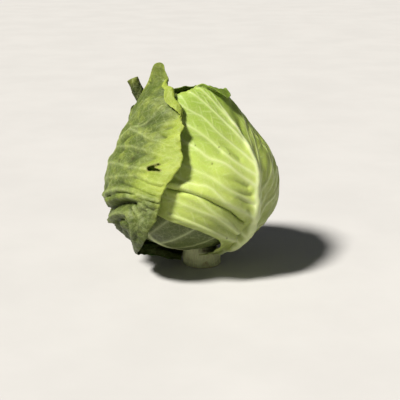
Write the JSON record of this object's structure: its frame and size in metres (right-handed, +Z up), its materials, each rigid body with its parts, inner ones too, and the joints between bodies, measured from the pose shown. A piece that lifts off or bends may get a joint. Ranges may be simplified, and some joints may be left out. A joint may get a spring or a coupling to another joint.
{
  "type": "cabbage",
  "caption": "Head of green cabbage on its short cut stalk, with wilted outer leaves that stand off the crown and fold over at their margins.",
  "frame": {"origin": "centre of the stalk's cut face, on the surface the head stands on", "axes": "+Z up, -Y towards the camera, +X to the camera's right"},
  "size_m": [0.1703, 0.1733, 0.2],
  "materials": {
    "heart": "waxy, pale green",
    "stalk": "moist cut, pale, dry and browned at the rim",
    "leaf_inner": "waxy, light green with pale veins",
    "leaf_outer": "waxy, mid green with pale veins",
    "leaf_pale": "waxy, bright yellow-green with pale ribs",
    "leaf_wilted": "dull grey-green, wrinkled, yellow towards its margins",
    "leaf_dark": "dull, dark green, dried and rolled at its tip"
  },
  "bodies": {
    "root": {"heart": "heart", "stalk": "stalk", "leaf_crown_back": "leaf_inner", "leaf_crown_left": "leaf_inner", "leaf_crown_right": "leaf_inner", "leaf_under": "leaf_outer", "leaf_back": "leaf_outer", "leaf_right": "leaf_outer", "leaf_rolled": "leaf_dark", "leaf_front": "leaf_pale", "leaf_left": "leaf_wilted"}
  },
  "joints": []
}
